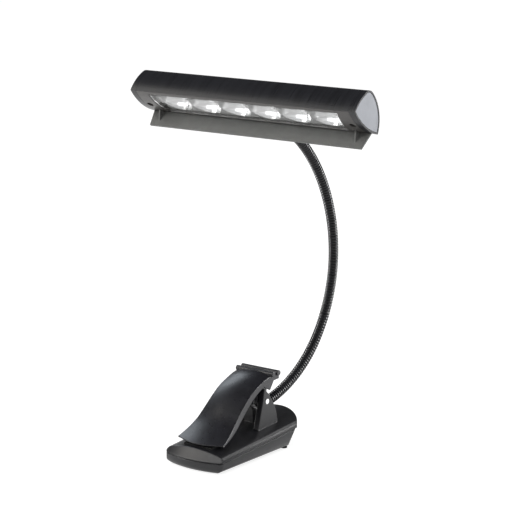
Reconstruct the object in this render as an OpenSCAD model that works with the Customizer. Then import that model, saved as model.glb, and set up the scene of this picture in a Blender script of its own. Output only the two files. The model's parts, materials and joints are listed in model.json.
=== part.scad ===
// Clip-on music stand light: sprung clip base, gooseneck of ribbed links and wide lamp head.
// Millimetres. The base stands on z = 0, the jaw mouth faces -y and x runs along the head.

/* [Clip base] */
// Width of the clip base
base_w = 50; // [45:1:56]
// From the origin to the middle of the bowed front
base_front = 51; // [49:0.1:56]
// From the origin to the end of the round rear
base_rear = 54; // [53:0.5:58]
// How far the front bows out in plan
front_bow = 4.7; // [3:0.1:6]
// Plan radius of the front corners
corner_r = 4; // [3.6:0.1:5]
// Plan radius of the round rear end
rear_r = 30; // [29:0.1:34]
// Height of the top's ridge above the table at the origin
top_z = 18.3; // [18:0.1:24]
// Radius that rounds the top's long side edges
shoulder_r = 4; // [2.6:0.1:5]
// Radius of the crowned top across the width
crown_r = 80; // [60:1:140]
// Slope of the top, rising to the rear, in degrees
top_tilt = 4.4; // [3:0.1:6]
// Height of the housings' seam at the origin
seam_z = 11; // [10:0.1:13]
// Slope of the seam in degrees
seam_tilt = 3.4; // [2:0.1:4]
// Lean of the front facet, in millimetres back per millimetre up
facet_lean = 0.86; // [0.4:0.02:1]
// Height of the underside above the table
floor_z = 0.4; // [0.4:0.1:1.2]
// Height of the rounded edges of the underside
belly_rise = 5; // [3:0.1:6]
// Width of the rounded edges of the underside
belly_edge = 6.5; // [5:0.1:6.6]
// How far the front's rounded lower edge draws back
chin = 4; // [2:0.1:5]
// How far the lower housing steps in at the rear
rear_step = 1.2; // [0.5:0.1:1.5]
// Lean of the lower housing's rear, in millimetres in per millimetre down
rear_lean = 0.4; // [0.2:0.02:0.5]
// Wall of the base housings
wall = 2; // [1.6:0.1:2.4]
// Height and depth of the shadow groove at the seam
groove = 0.5; // [0.3:0.1:0.8]

/* [Clip hinge] */
// Distance of the hinge pin behind the origin
pin_y = 17; // [16:0.1:18]
// Height of the hinge pin
pin_z = 36.65; // [36.45:0.05:40]
// Diameter of the hinge pin
pin_d = 3.8; // [3:0.1:4]
// Radial running clearance on the hinge pin
pin_gap = 0.05; // [0.02:0.01:0.1]
// Outer face of each ear from the middle
ear_x = 16; // [15.8:0.1:18]
// Thickness of each ear
ear_t = 4.5; // [3:0.1:4.6]
// Radius of the rear edge of the ears
ear_arc_r = 44; // [40:1:60]
// Wire diameter of the torsion spring
spring_wire = 1; // [0.6:0.1:1.1]
// Mean coil radius of the torsion spring
spring_r = 2.75; // [2.65:0.05:2.85]
// Number of turns of the torsion spring
spring_turns = 8; // [6:1:8]
// Length of the spring's coil along the pin
spring_len = 15; // [14:0.5:15]

/* [Clip lever] */
// Width of the lever over the hinge
lever_w = 30.2; // [29:0.1:31]
// Sheet thickness of the lever
lever_t = 1.6; // [1.2:0.1:2]
// Thickness of the lever's cheeks
cheek_t = 2.6; // [2:0.1:2.6]
// Gap between each cheek and its ear
cheek_gap = 0.4; // [0.3:0.1:0.4]
// Radius of the cheek's eye round the pin
eye_r = 5.5; // [4.5:0.1:6]
// Radius of the thumb ridges
ridge_r = 1.9; // [1.4:0.1:2.4]
// Distance between the two thumb ridges
ridge_step = 6; // [5:0.1:7]
// Half width of the jaw pads
pad_x = 12; // [8:0.5:13]
// How far the lower jaw pad stands above the base's ridge
pad_h = 0.7; // [0.4:0.1:1]
// Gap between the jaw pads at rest
pad_gap = 0.3; // [0.2:0.1:0.6]

/* [Battery bay] */
// Diameter of a cell
cell_d = 10.5; // [10:0.1:10.5]
// Length of a cell
cell_len = 44.5; // [43:0.5:44.5]
// Distance between cell middles
cell_pitch = 10.8; // [10.8:0.1:11]
// Front end of the cells
cell_y = -11.5; // [-12:0.1:-11]
// Height of the cells above the door
cell_lift = 0.3; // [0.2:0.1:0.4]
// Free length of the contact springs
contact_len = 4.3; // [4:0.1:4.6]
// Half width of the door's sliding edge
door_x = 17.3; // [16.8:0.1:17.3]
// Thickness of the battery door
door_t = 1.6; // [1.2:0.1:1.8]
// Width of the ledges that carry the door
ledge = 1.3; // [1:0.1:1.6]
// Sliding clearance of the door
door_gap = 0.2; // [0.15:0.05:0.3]
// Front end of the battery door
door_y = -19; // [-20:0.5:-18]
// Radius of the rubber feet
foot_r = 2.4; // [2:0.1:2.4]
// Place of the rear feet along the base
foot_y = 31; // [28:0.5:32]

/* [Switch and inlet] */
// Thickness of the base circuit board
board_t = 1.6; // [1:0.1:2]
// Front face of the base circuit board
board_y = 37.5; // [37:0.1:38]
// Half width of the base circuit board
board_x = 13; // [10:0.5:14]
// Diameter of the power button
button_d = 3.6; // [3.2:0.1:3.6]
// Height of the power button above the table
button_z = 17.5; // [17.4:0.1:17.6]
// Travel of the power button
button_travel = 0.8; // [0.5:0.1:1]
// How far the button stands out of the rear wall
button_proud = 1; // [0.8:0.1:1.6]
// Clearance round the power button
button_gap = 0.25; // [0.2:0.05:0.3]
// Height of the power inlet above the table
jack_z = 8; // [7.8:0.1:8.2]
// Outer diameter of the inlet's nose
jack_d = 6.4; // [6:0.1:6.6]
// Bore of the inlet
jack_bore = 5.2; // [4.4:0.1:5.4]
// Diameter of the inlet's centre contact
jack_pin = 1.3; // [1:0.1:2]

/* [Gooseneck] */
// Length of each neck link
link_len = 30; // [24:0.5:34]
// Outer diameter of the neck over its ribs
neck_d = 7.1; // [6.4:0.1:7.4]
// Depth of the grooves between the ribs
rib_depth = 0.4; // [0.2:0.05:0.5]
// Number of ribs on each link
rib_count = 14; // [10:1:16]
// Bore of the neck
neck_bore = 3; // [2.4:0.1:3.2]
// Radius of the ball that each link turns on
ball_r = 2.55; // [2.4:0.05:2.6]
// Radial clearance of each ball in its seat
ball_gap = 0.07; // [0.03:0.01:0.1]
// Largest bend of one link on the next in degrees
bend_limit = 18; // [10:1:20]
// Place of the neck's root along the base
root_y = 22.8; // [22:0.1:26]
// Height of the neck's root
root_z = 27.7; // [27:0.1:30]
// Rise of the neck at its root in degrees
root_rise = 2; // [0:0.5:10]
// Outer diameter of the collars at both neck ends
collar_d = 9.4; // [8.6:0.1:10]
// Length of those collars
collar_len = 5; // [3:0.1:8]
// Depth of the neck's plain ends in their sockets
plug_len = 4; // [3:0.1:4.5]

/* [Lamp head] */
// Length of the lamp head
head_len = 194; // [190:1:230]
// Front edge of the lamp face from its middle
face_front = 16.15; // [16:0.05:17]
// Rear edge of the lamp face from its middle
face_rear = 16.9; // [16.7:0.1:17.5]
// Radius of the head's bowed front
front_arc_r = 32.4; // [28:0.1:33]
// Radius of the head's bowed rear
rear_arc_r = 26; // [25.8:0.1:28]
// How far the middle of the rear's radius lies below the lamp face
rear_arc_drop = 5; // [4:0.1:5.2]
// Radius of the rounded crest between front and rear
crest_r = 6.2; // [4:0.1:6.5]
// How far the lamp face bulges out
face_bulge = 3.1; // [2.6:0.1:3.3]
// Wall of the lamp head
head_wall = 1.8; // [1.4:0.1:1.9]
// Thickness of each end cap
cap_t = 5; // [3:0.1:6]
// Width of the dark rim round each end face
cap_rim = 1.3; // [1:0.1:2]
// Thickness of the pale end faces
plate_t = 1.2; // [0.8:0.1:2]
// Angle between the neck's end and the lamp face in degrees
head_set = 13; // [8:0.5:16]
// Neck socket behind the middle of the lamp face
socket_u = 18; // [17.5:0.1:19]
// Neck socket above the lamp face
socket_n = 5.9; // [5.6:0.1:6.4]

/* [Light and shield] */
// Number of reflector bowls
cell_count = 6; // [4:1:6]
// Largest rim radius of a reflector bowl
bowl_max = 13.1; // [10:0.1:13.2]
// Depth of the reflector bowls
bowl_depth = 10.9; // [9:0.1:11]
// Wall of the reflector
bowl_t = 0.8; // [0.6:0.1:0.9]
// Middle of the bowls, in front of the lamp face's middle
bowl_front = 2.7; // [2.5:0.1:3]
// Front edge of the window, from the middle of the lamp face
window_front = 13.4; // [13.2:0.1:13.6]
// Rear edge of the window, from the middle of the lamp face
window_rear = 10.6; // [10.5:0.1:10.8]
// Distance of the window from each end of the head
window_in = 15; // [15:0.5:18]
// Thickness of the clear window
lens_t = 1; // [0.8:0.1:1.4]
// Clearance round the window and the reflector
lens_gap = 0.15; // [0.1:0.05:0.3]
// Height of the glare shield
shield_h = 12.5; // [8:0.1:20]
// How much shorter the glare shield's root is than the head, at each end
shield_in = 2.5; // [1:0.1:6]
// How far each end of the glare shield slants in to its free edge
shield_slant = 2.5; // [0:0.1:5]
// Thickness of the glare shield
shield_t = 1.6; // [1:0.1:2]
// Place of the glare shield behind the middle of the lamp face
shield_u = 13; // [12.6:0.1:13.4]
// Lean of the glare shield to the front in degrees
shield_lean = 7; // [0:0.5:12]
// Distance of the gussets from each end of the head
gusset_in = 11.6; // [10:0.1:14]
// Distance of the bezel screws from each end of the head
screw_in = 9; // [8.9:0.1:10.4]
// Place of the bezel screws in front of the middle of the lamp face
screw_front = 0.8; // [-2:0.1:3]

/* [Hidden] */
$fn = 48;
// Fit between fixed pieces, and the overlap of cuts past a face
seat = 0.05;
over = 1;
// Larger than the whole light, for half spaces
big = 400;

// Colours
c_black = [0.09, 0.09, 0.1];
c_dark = [0.16, 0.16, 0.17];
c_rubber = [0.06, 0.06, 0.06];
c_steel = [0.78, 0.79, 0.8];
c_silver = [0.69, 0.7, 0.72];
c_board = [0.1, 0.35, 0.2];
c_copper = [0.72, 0.5, 0.25];

// Plan of the base
front_r = (pow(base_w / 2, 2) + pow(front_bow, 2)) / (2 * front_bow);
front_cy = front_r - base_front;
rear_cy = base_rear - rear_r;
// Middle of each rounded front corner
corner_x = base_w / 2 - corner_r;
corner_y = front_cy - sqrt(pow(front_r - corner_r, 2) - pow(corner_x, 2));
belly_flat = base_w / 2 - belly_edge;
// Middle of each rounded shoulder, across the width and up
shoulder_x = base_w / 2 - shoulder_r;
shoulder_z = top_z - crown_r + sqrt(pow(crown_r - shoulder_r, 2) - pow(shoulder_x, 2));
shoulder_turn = atan2(shoulder_z - top_z + crown_r, shoulder_x);
// Rear end of the lower housing in the middle, at a height
rear_seam = seam_z + base_rear * tan(seam_tilt);
function rear_face(z) = base_rear - rear_step - (rear_seam - z) * rear_lean;
// Height of the seam where the front facet starts
facet_z = seam_z - base_front * tan(seam_tilt);
// Height of the base's ridge at a place along the base
function ridge_z(y) = top_z + y * tan(top_tilt);

// Battery bay
door_top = floor_z + door_t;
channel_top = door_top + door_gap;
cell_z = door_top + cell_lift + cell_d / 2;
bay_x = cell_pitch + cell_d / 2 + 0.4;
bay_front = cell_y - contact_len - 0.3;
bay_rear = cell_y + cell_len + 0.9;
rear_floor_t = 1.6;
rib_t = 1.6;
rib_top = cell_z + 4;
// Rear feet beside the door
foot_x = door_x + door_gap + foot_r + 0.4;
// Tongues of the lower housing inside the upper one
tongue_t = 1.2;
tongue_h = 1;
tongue_y = [12, 32];
// Housing screws at the front, the same screw throughout
post_x = base_w / 2 - 8;
post_spots = [[-post_x, -33], [post_x, -33]];
post_r = 2.4;
screw_r = 1.25;
screw_head_r = 2.2;
screw_head_h = 1.4;
screw_len = 8;

// Neck: bend of each link in degrees, from the root to the head
bends = [16, 17, 19, 17, 18, 16, 14, 15, 14, 12];
neck_r = neck_d / 2;
core_r = neck_r - rib_depth;
plug_r = core_r - 0.3;
// Gap that lets one link tilt on the next without touching
tilt_room = neck_r * tan(bend_limit) + 0.15;
rib_pitch = link_len / rib_count;
rib_w = rib_pitch * 0.62;
function link_r(k) = link_len / (bends[k] * PI / 180);
function next_pose(p, b, r) = [
    p[0] + r * (sin(p[2] + b) - sin(p[2])),
    p[1] - r * (cos(p[2] + b) - cos(p[2])),
    p[2] + b];
function link_pose(k) = k == 0 ? [root_y, root_z, root_rise]
    : next_pose(link_pose(k - 1), bends[k - 1], link_r(k - 1));
neck_end = link_pose(len(bends));

// Head: the lamp face's middle is placed from the neck's end
head_tilt = neck_end[2] - 180 - head_set;
head_y = neck_end[0] - socket_u * cos(head_tilt) + socket_n * sin(head_tilt);
head_z = neck_end[1] - socket_u * sin(head_tilt) - socket_n * cos(head_tilt);
shell_x = head_len / 2 - cap_t;
face_w = face_front + face_rear;
bulge_r = (pow(face_w / 2, 2) + pow(face_bulge, 2)) / (2 * face_bulge);
bulge_u = (face_rear - face_front) / 2;
bulge_z = bulge_r - face_bulge;
bezel_lip = 0.6;
// Middles of the front and rear arcs of the head's section, and of the crest that rounds their meeting
front_arc = [front_arc_r - face_front, 0];
rear_arc = [face_rear - sqrt(pow(rear_arc_r, 2) - pow(rear_arc_drop, 2)), -rear_arc_drop];
arc_gap = norm(rear_arc - front_arc);
arc_way = (rear_arc - front_arc) / arc_gap;
crest_along = (pow(front_arc_r - crest_r, 2) - pow(rear_arc_r - crest_r, 2) + pow(arc_gap, 2)) / (2 * arc_gap);
crest_up = sqrt(pow(front_arc_r - crest_r, 2) - pow(crest_along, 2));
crest = front_arc + crest_along * arc_way + crest_up * [arc_way[1], -arc_way[0]];
// Places along the head, from its ends
window_x = head_len / 2 - window_in;
screw_x = head_len / 2 - screw_in;
gusset_x = head_len / 2 - gusset_in;
shield_root = head_len / 2 - shield_in;
shield_edge = shield_root - shield_slant;
bowl_pitch = 2 * (window_x - 4) / cell_count;
// Rim radius of the bowls, which run into each other, and the radius of their round
bowl_rim = min(bowl_max, 0.504 * bowl_pitch);
bowl_r = (pow(bowl_rim, 2) + pow(bowl_depth, 2)) / (2 * bowl_depth);
// Level of the reflector's flat rim, the bowls' middle under it and the bowls' backs
rim_z = 0.75;
rim_t = 1;
bowl_z = rim_z + bowl_depth - bowl_r;
bowl_top = rim_z + bowl_depth + bowl_t;
// Flat front of the bowls, from the middle of the lamp face
bowl_flat = window_front - 0.8;
led_z = bowl_top + 0.1;
led_t = 1.6;

// A path of points as a round tube of triangles
function unit(v) = v / norm(v);
function tangent(p, i) = unit(p[min(i + 1, len(p) - 1)] - p[max(i - 1, 0)]);
function tube_ring(p, i, r, n, axis) = let (t = tangent(p, i), a = unit(cross(t, axis)), b = cross(t, a))
    [for (j = [0 : n - 1]) p[i] + r * (cos(360 * j / n) * a + sin(360 * j / n) * b)];
module tube(p, r, n, axis) {
    m = len(p);
    points = [for (i = [0 : m - 1]) each tube_ring(p, i, r, n, axis)];
    sides = [for (i = [0 : m - 2], j = [0 : n - 1], h = [0, 1]) h == 0
        ? [i * n + j, (i + 1) * n + j, i * n + (j + 1) % n]
        : [i * n + (j + 1) % n, (i + 1) * n + j, (i + 1) * n + (j + 1) % n]];
    first = [for (j = [1 : n - 2]) [0, j, j + 1]];
    last = [for (j = [1 : n - 2]) [(m - 1) * n, (m - 1) * n + j + 1, (m - 1) * n + j]];
    polyhedron(points, concat(sides, first, last));
}

// Smooth curve through a list of vectors
function spline(p, i, t) = let (
        a = p[max(i - 1, 0)], b = p[i], c = p[i + 1], d = p[min(i + 2, len(p) - 1)])
    0.5 * (2 * b + (c - a) * t + (2 * a - 5 * b + 4 * c - d) * t * t
        + (3 * b - a - 3 * c + d) * t * t * t);
function smooth(p, steps) = concat([for (i = [0 : len(p) - 2], s = [0 : steps - 1]) spline(p, i, s / steps)],
    [p[len(p) - 1]]);

// Base forms

module plan(inset, step) {
    intersection() {
        union() {
            translate([inset - base_w / 2, -base_front - over])
                square([base_w - 2 * inset, base_front + over + rear_cy - step]);
            translate([0, rear_cy - step])
                circle(r = rear_r - inset);
        }
        translate([inset - base_w / 2, -base_front - over])
            square([base_w - 2 * inset, base_front + base_rear + 2 * over]);
        translate([0, front_cy])
            circle(r = front_r - inset);
        mirror([0, 1])
            blunt([corner_x, -corner_y], corner_r - inset, atan2(front_cy - corner_y, corner_x));
    }
}

// All of the plane but the tips of two upper corners, which are rounded in flats round their middles
flats = 4;
module blunt(middle, r, turn) {
    first = turn / flats / 2;
    reach = r / cos(first);
    right = [for (i = [1 : flats - 1]) let (a = turn * i / flats) middle + reach * [cos(a), sin(a)]];
    last = right[flats - 2];
    tip = [0, last[1] + last[0] / tan(turn - first)];
    far = right[0] + big * [sin(first), -cos(first)];
    half = concat([far], right);
    polygon(concat(half, [tip], [for (i = [len(half) - 1 : -1 : 0]) [-half[i][0], half[i][1]]]));
}

// Quarter of an oval in flats, from its outer end to its inner end
function oval(wide, high) = [for (i = [0 : flats]) let (a = 90 * i / flats)
    [wide * (1 - cos(a)), high * (1 - sin(a))]];

module above_seam(lift) {
    translate([0, 0, seam_z + lift])
        rotate([seam_tilt, 0, 0])
            translate([-big / 2, -big / 2, 0])
                cube([big, big, big / 2]);
}

module below_seam(drop) {
    translate([0, 0, seam_z - drop])
        rotate([seam_tilt, 0, 0])
            translate([-big / 2, -big / 2, -big / 2])
                cube([big, big, big / 2]);
}

// The crowned top with its leaning front facet, drawn in by a wall
module top_form(inset) {
    cone_h = 2 * top_z;
    intersection() {
        linear_extrude(cone_h)
            plan(inset, 0);
        rotate([top_tilt, 0, 0])
            translate([0, 0, top_z - crown_r])
                rotate([90, 0, 0])
                    cylinder(r = crown_r - inset, h = big, center = true, $fn = 128);
        rotate([90 + top_tilt, 0, 0])
            linear_extrude(big, center = true)
                blunt([shoulder_x, shoulder_z], shoulder_r - inset, shoulder_turn);
        union() {
            translate([0, front_cy, 0])
                cylinder(h = cone_h, r1 = front_r - inset + facet_z * facet_lean,
                    r2 = front_r - inset - (cone_h - facet_z) * facet_lean, $fn = 128);
            translate([-big / 2, 0, 0])
                cube([big, big, cone_h]);
        }
    }
}

// The lower body with its rounded underside and leaning rear, drawn in by a wall
module belly_form(inset) {
    half = base_w / 2 - inset;
    low = floor_z + inset;
    high = 2 * top_z;
    side = [for (p = oval(belly_edge - inset, belly_rise)) [half - p[0], low + p[1]]];
    front = [for (p = oval(chin, belly_rise)) [front_r - inset - p[0], low + p[1]]];
    intersection() {
        linear_extrude(high)
            plan(inset, rear_step);
        rotate([90, 0, 0])
            linear_extrude(big, center = true)
                polygon(concat([[-half, high], [half, high]], side,
                    [for (i = [flats : -1 : 0]) [-side[i][0], side[i][1]]]));
        translate([0, front_cy, 0])
            rotate_extrude($fn = 128)
                polygon(concat([[0, high], [front_r + over, high], [front_r + over, low + 2 * belly_rise]],
                    front, [[0, low]]));
        union() {
            translate([-big / 2, rear_cy - big, 0])
                cube([big, big, high]);
            translate([0, rear_cy - rear_step, 0])
                cylinder(h = high, r1 = rear_r - inset - rear_seam * rear_lean,
                    r2 = rear_r - inset + (high - rear_seam) * rear_lean, $fn = 128);
        }
    }
}

// Ear in the YZ plane: a fin whose rear edge is an arc
module ear_outline() {
    front_low = [pin_y - 11.4, ridge_z(0) - 4];
    front_mid = [pin_y - 4.2, pin_z + 2.2];
    apex = [pin_y - 3, pin_z + 9.55];
    foot_rear = [pin_y + 13, ridge_z(0) - 4];
    middle = (apex + foot_rear) / 2;
    span = norm(foot_rear - apex) / 2;
    out = [apex[1] - foot_rear[1], foot_rear[0] - apex[0]] / (2 * span);
    centre = middle - out * sqrt(pow(ear_arc_r, 2) - pow(span, 2));
    intersection() {
        polygon([front_low, foot_rear, foot_rear + [6, 12], apex + [8, 0], apex, front_mid]);
        translate(centre)
            circle(r = ear_arc_r, $fn = 128);
    }
}

// Stands a YZ outline up as a plate between two places along x
module plate_x(x0, x1) {
    translate([x0, 0, 0])
        rotate([90, 0, 90])
            linear_extrude(x1 - x0)
                children();
}

// A cylinder along x
module rod_x(r, x0, x1) {
    translate([x0, pin_y, pin_z])
        rotate([0, 90, 0])
            cylinder(r = r, h = x1 - x0);
}

boss_r = collar_d / 2 + 0.5;
boss_len = 8;
lead_hole_y = root_y - 5.8;
lead_r = 0.9;

module upper_housing() color(c_black) {
    difference() {
        union() {
            difference() {
                top_form(0);
                top_form(wall);
                below_seam(0);
            }
            // Ears for the hinge pin
            difference() {
                for (x = [-ear_x, ear_x - ear_t])
                    plate_x(x, x + ear_t)
                        ear_outline();
                top_form(wall / 2);
            }
            // Neck boss on its pedestal
            difference() {
                union() {
                    translate([0, root_y, root_z])
                        rotate([90 + root_rise, 0, 0])
                            cylinder(r = boss_r, h = boss_len);
                    translate([-boss_r, root_y - boss_len + 0.2, ridge_z(0) - 4])
                        cube([2 * boss_r, boss_len - 0.4, root_z - ridge_z(0) + 4]);
                }
                top_form(wall / 2);
            }
            // Screw posts
            intersection() {
                top_form(wall / 2);
                for (p = post_spots)
                    translate([p[0], p[1], floor_z + wall + 2.2])
                        cylinder(r = post_r, h = 2 * top_z);
            }
        }
        rod_x(pin_d / 2 + pin_gap, -ear_x - over, ear_x + over);
        // Socket for the neck and the way down for its lead
        translate([0, root_y + over, root_z])
            rotate([90 + root_rise, 0, 0])
                cylinder(r = plug_r + seat, h = plug_len + 2.6 + over);
        translate([0, lead_hole_y, top_z - wall - 2])
            cylinder(r = lead_r + 0.6, h = root_z - top_z + wall + 2);
        // Hole for the power button
        translate([0, base_rear + over, button_z])
            rotate([90, 0, 0])
                cylinder(r = button_d / 2 + button_gap, h = wall + 2 * over);
        // Recess for the lower jaw pad
        pad_block(-wall / 2, 10, 0);
        for (p = post_spots)
            translate([p[0], p[1], 0])
                cylinder(r = screw_r + seat, h = floor_z + wall + screw_len + 1);
    }
}

// Upright block inside a side wall, thicker where it is rooted
module tongue_block(s, root) {
    outer = base_w / 2 - wall - 0.2;
    translate([s * (outer - tongue_t / 2 + root / 2), (tongue_y[0] + tongue_y[1]) / 2, top_z])
        cube([tongue_t + root, tongue_y[1] - tongue_y[0], 2 * top_z], center = true);
}

module lower_housing() color(c_dark) {
    jack_hole = jack_d / 2 + 0.2;
    difference() {
        union() {
            difference() {
                intersection() {
                    belly_form(0);
                    below_seam(groove);
                }
                belly_form(wall);
            }
            // Rim inside the shadow groove
            intersection() {
                difference() {
                    belly_form(groove);
                    belly_form(wall);
                }
                below_seam(seat);
                above_seam(-groove - seat);
            }
            // Tongues inside the upper housing's sides, rooted on the walls
            for (s = [-1, 1]) {
                intersection() {
                    tongue_block(s, 0);
                    above_seam(-4);
                    below_seam(-tongue_h);
                }
                intersection() {
                    tongue_block(s, 1);
                    above_seam(-4);
                    below_seam(1.5);
                }
            }
            // Floor above the door's way out, and the walls at both ends of the cells
            intersection() {
                belly_form(wall / 2);
                below_seam(groove + 1);
                union() {
                    translate([-door_x - 2, bay_rear, channel_top])
                        cube([2 * door_x + 4, base_rear, rear_floor_t]);
                    translate([-bay_x, bay_front - rib_t, floor_z])
                        cube([2 * bay_x, rib_t, rib_top - floor_z]);
                    translate([-bay_x, bay_rear, channel_top])
                        cube([2 * bay_x, rib_t, rib_top - channel_top]);
                }
            }
        }
        // Sliding channel, wider above its ledges
        translate([-door_x - door_gap, door_y - door_gap, channel_top - door_t / 2 - 2 * door_gap])
            cube([2 * (door_x + door_gap), big, door_t / 2 + 2 * door_gap]);
        translate([ledge - door_x - door_gap, door_y - door_gap, 0])
            cube([2 * (door_x + door_gap - ledge), big, channel_top]);
        // Opening over the cells
        translate([-bay_x, bay_front, 0])
            cube([2 * bay_x, bay_rear - bay_front, channel_top + rear_floor_t + wall]);
        // Hole for the power inlet
        translate([0, base_rear, jack_z])
            rotate([90, 0, 0])
                cylinder(r = jack_hole, h = base_rear - jack_body);
        // Countersunk screw holes
        for (p = post_spots)
            translate([p[0], p[1], -over]) {
                cylinder(r = screw_r + 0.2, h = 3 * wall + over);
                cylinder(r = screw_head_r + 0.3, h = floor_z + wall + over);
            }
        // Clearance for the rubber feet
        foot_shapes(seat);
    }
    // Seats of the screw heads
    difference() {
        intersection() {
            belly_form(wall / 2);
            for (p = post_spots)
                translate([p[0], p[1], floor_z + wall])
                    cylinder(r = post_r, h = 2.2 - seat);
        }
        for (p = post_spots)
            translate([p[0], p[1], -over])
                cylinder(r = screw_r + 0.2, h = 4 * wall + over);
    }
}

// Rubber feet: a bar under the jaw and two round feet at the rear
module foot_shapes(gap) {
    bar = [20 + 2 * gap, 6 + 2 * gap];
    translate([-bar[0] / 2, -41 - gap, 0])
        cube([bar[0], bar[1], floor_z + wall / 2 + gap]);
    for (s = [-1, 1])
        translate([s * foot_x, foot_y, 0])
            cylinder(r = foot_r + gap, h = floor_z + wall + gap);
}

module front_foot() color(c_rubber)
    intersection() {
        foot_shapes(0);
        translate([-belly_flat, -base_front, 0])
            cube([2 * belly_flat, base_front, floor_z + wall]);
    }

module rear_feet() color(c_rubber)
    intersection() {
        foot_shapes(0);
        translate([-base_w, 0, 0])
            cube([2 * base_w, base_rear, floor_z + wall]);
    }

// Block along the ridge under the jaw, from a height to a height over the ridge line
pad_front = -40;
pad_rear = -27;
module pad_block(low, high, trim) {
    rotate([top_tilt, 0, 0])
        translate([-pad_x + trim, pad_front + trim, top_z + low])
            cube([2 * (pad_x - trim), pad_rear - pad_front - 2 * trim, high - low]);
}

module jaw_pad_lower() color(c_rubber)
    difference() {
        pad_block(seat - wall / 2, pad_h, seat);
        // Grip grooves across the pad
        for (y = [pad_front + 2.5 : 2.5 : pad_rear - 2])
            rotate([top_tilt, 0, 0])
                translate([-pad_x - over, y, top_z + pad_h - 0.4])
                    cube([2 * (pad_x + over), 0.8, 1]);
    }

module hinge_pin() color(c_steel) {
    rod_x(pin_d / 2, -ear_x - 0.3, ear_x + 0.3);
}

// Torsion spring: one leg on the base, a coil round the pin, one leg under the lever
spring_wire_r = spring_wire / 2;
function coil_point(a) = [
    spring_len * (a / (360 * spring_turns) - 0.5),
    pin_y + spring_r * cos(a),
    pin_z + spring_r * sin(a)];
base_leg_x = -spring_len / 2;
leg_low = [base_leg_x, pin_y + spring_r, ridge_z(pin_y + spring_r) + spring_wire_r + 0.2];
lever_leg = [spring_len / 2, pin_y + 5.5, pin_z + 12.5];
spring_path = concat(
    [leg_low, leg_low + [0, 0, 6], [base_leg_x, pin_y + spring_r, pin_z - 4]],
    [for (i = [0 : 8 * spring_turns]) coil_point(45 * i)],
    [[spring_len / 2, pin_y + spring_r, pin_z + 3], lever_leg]);
coil_gaps = [for (i = [3 : 8 * spring_turns - 6], j = [i + 6 : min(i + 10, 8 * spring_turns + 3)])
    norm(spring_path[i] - spring_path[j]) - spring_wire];
echo(least_gap_in_torsion_spring = min(coil_gaps));
module torsion_spring() color(c_steel)
    tube(spring_path, spring_wire_r, 6, [1, 0, 0]);

module cell_spots() {
    for (i = [-1, 0, 1])
        translate([i * cell_pitch, cell_y, cell_z])
            rotate([-90, 0, 0])
                children();
}

module battery_cells() color([0.2, 0.3, 0.5])
    cell_spots() {
        cylinder(d = cell_d, h = cell_len - 1);
        cylinder(d = 3.8, h = cell_len);
    }

// Conical contact spring, its wide end on the bay's front wall
contact_wire_r = 0.35;
contact_turns = 3;
contact_run = contact_len - 2 * contact_wire_r;
contact_path = [for (i = [0 : 8 * contact_turns]) let (f = i / (8 * contact_turns), r = 4 - 1.4 * f)
    [r * cos(45 * i), r * sin(45 * i), contact_wire_r + contact_run * f]];
contact_gaps = [for (i = [0 : 8 * contact_turns - 6], j = [i + 6 : min(i + 10, 8 * contact_turns)])
    norm(contact_path[i] - contact_path[j]) - 2 * contact_wire_r];
echo(least_gap_in_contact_spring = min(contact_gaps));
module contact_springs() color(c_steel)
    cell_spots()
        translate([0, 0, -contact_len - 0.1])
            tube(contact_path, contact_wire_r, 6, [0, 0, 1]);

module contact_plates() color(c_steel)
    cell_spots()
        translate([-3.5, -3.5, cell_len + 0.2])
            cube([7, 7, 0.5]);

module base_board() color(c_board)
    difference() {
        translate([-board_x, board_y, channel_top + rear_floor_t + seat])
            cube([2 * board_x, board_t, button_z - 0.3 - channel_top - rear_floor_t]);
        translate([0, board_y - over, button_z - 1.5])
            rotate([-90, 0, 0])
                cylinder(r = lead_r + 0.1, h = 1);
    }

board_back = board_y + board_t;
switch_len = 3.5;
module switch_body() color(c_dark)
    translate([0, board_back + seat, button_z]) {
        translate([-3, 0, -2.6])
            cube([6, switch_len - 0.6, 4.2]);
        rotate([-90, 0, 0])
            cylinder(r = 1.6, h = switch_len);
    }

// Ends of the inlet's nose and of its body at the leaning rear
jack_face = rear_face(jack_z - jack_d / 2) - 0.2;
jack_body = rear_face(jack_z - 3.4) - wall - 0.7;
module dc_jack() color(c_dark) {
    difference() {
        union() {
            translate([-4, board_back + seat, jack_z - 3.4])
                cube([8, jack_body - board_back, 6.8]);
            translate([0, board_back + 1, jack_z])
                rotate([-90, 0, 0])
                    cylinder(d = jack_d, h = jack_face - board_back - 1);
        }
        translate([0, board_back + 1.2, jack_z])
            rotate([-90, 0, 0])
                cylinder(d = jack_bore, h = base_rear);
    }
    translate([0, board_back + 0.6, jack_z])
        rotate([-90, 0, 0])
            cylinder(d = jack_pin, h = jack_face - board_back - 2);
}

// Pan head screw with a cross recess, its head's bottom face at the origin
module screw() {
    difference() {
        union() {
            translate([0, 0, -screw_head_h])
                cylinder(r = screw_head_r, h = screw_head_h);
            cylinder(r = screw_r, h = screw_len);
        }
        for (a = [0, 90])
            rotate([0, 0, a])
                translate([-1.4, -0.3, -screw_head_h - over])
                    cube([2.8, 0.6, over + 0.8]);
    }
}

module housing_screws() color(c_steel)
    for (p = post_spots)
        translate([p[0], p[1], floor_z + wall - seat])
            screw();

module battery_door() color(c_dark)
    intersection() {
        linear_extrude(top_z)
            plan(door_gap, base_rear - rear_face(floor_z) + 0.2);
        difference() {
            union() {
                translate([-door_x, door_y, channel_top - door_t / 2 - door_gap])
                    cube([2 * door_x, big, door_t / 2]);
                translate([ledge - door_x, door_y, floor_z])
                    cube([2 * (door_x - ledge), big, door_t - 0.1]);
            }
            // Finger grooves near the rear end
            for (i = [0 : 3])
                translate([-8, rear_face(floor_z) - 14 + 2.2 * i, floor_z - over])
                    cube([16, 1, over + 0.5]);
        }
    }

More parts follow.
